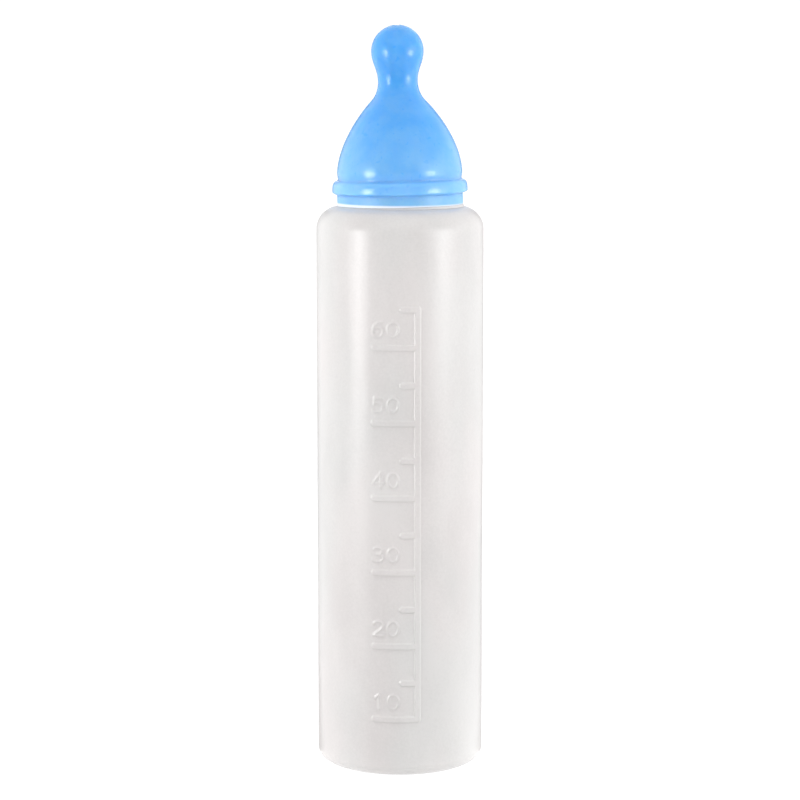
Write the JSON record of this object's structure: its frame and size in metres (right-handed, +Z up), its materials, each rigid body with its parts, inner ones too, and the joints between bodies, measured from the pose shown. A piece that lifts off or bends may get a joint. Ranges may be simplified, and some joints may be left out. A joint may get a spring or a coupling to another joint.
{
  "type": "calf feeding bottle",
  "caption": "Tall translucent feeding bottle with a raised volume scale and a pull-on rubber teat that holds a ball vent.",
  "frame": {"origin": "middle of the base, on the surface that the bottle stands on", "axes": "+Z up along the bottle's axis, -Y towards the side with the scale, +X to the right of the scale"},
  "size_m": [0.097, 0.0977, 0.4297],
  "materials": {
    "bottle_hdpe": "natural milky blow-moulded polyethylene, satin, translucent",
    "teat_rubber": "smooth sky-blue moulded rubber, satin",
    "vent_steel": "turned stainless steel",
    "ball_steel": "polished stainless steel ball"
  },
  "bodies": {
    "bottle": {"bottle": "bottle_hdpe"},
    "teat": {"teat": "teat_rubber", "vent_body": "vent_steel", "vent_cage": "vent_steel"},
    "vent_ball": {"vent_ball": "ball_steel"}
  },
  "joints": [
    {"name": "teat_pull_off", "type": "slide", "parent": "bottle", "child": "teat", "axis": [0, 0, 1], "range_m": [0, 0.08]},
    {"name": "vent_ball_lift", "type": "slide", "parent": "teat", "child": "vent_ball", "axis": [0, 0.9063, 0.4226], "range_m": [0, 0.00135]}
  ]
}
